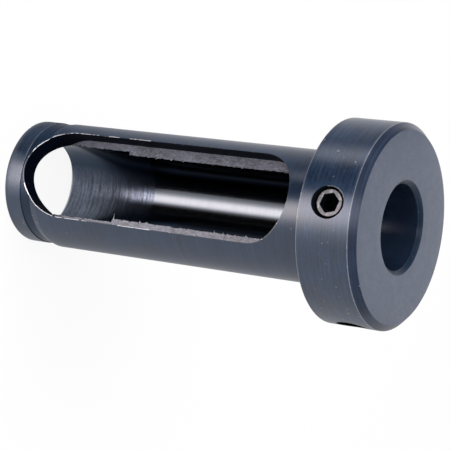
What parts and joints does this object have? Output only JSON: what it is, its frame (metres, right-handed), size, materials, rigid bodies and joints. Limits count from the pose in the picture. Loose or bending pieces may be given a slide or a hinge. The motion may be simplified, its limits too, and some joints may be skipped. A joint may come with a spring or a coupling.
{
  "type": "tool holder bushing",
  "caption": "Flanged steel bushing that centres a round tool shank, with a milled window along the sleeve and socket set screws in the head to clamp the tool.",
  "frame": {"origin": "centre of the bounding box at the nose face, on the bore axis, where the part stands", "axes": "+Z along the bore towards the head, -Y out of the middle of the milled window, +X a quarter turn from it on the side of the second clamp screw"},
  "size_m": [0.061, 0.061, 0.1311],
  "materials": {
    "blackened_steel": "blackened, ground and polished steel with a satin sheen",
    "screw_steel": "worn, lightly oiled alloy steel"
  },
  "bodies": {
    "bushing": {"bushing_body": "blackened_steel"},
    "front_screw": {"clamp_screw_front": "screw_steel"},
    "side_screw": {"clamp_screw_side": "screw_steel"}
  },
  "joints": [
    {"name": "front_screw_travel", "type": "slide", "parent": "bushing", "child": "front_screw", "axis": [-0.0819, 0.9966, 0], "range_m": [-0.01, 0.008]},
    {"name": "side_screw_travel", "type": "slide", "parent": "bushing", "child": "side_screw", "axis": [-0.9966, -0.0819, 0], "range_m": [-0.01, 0.008]}
  ]
}
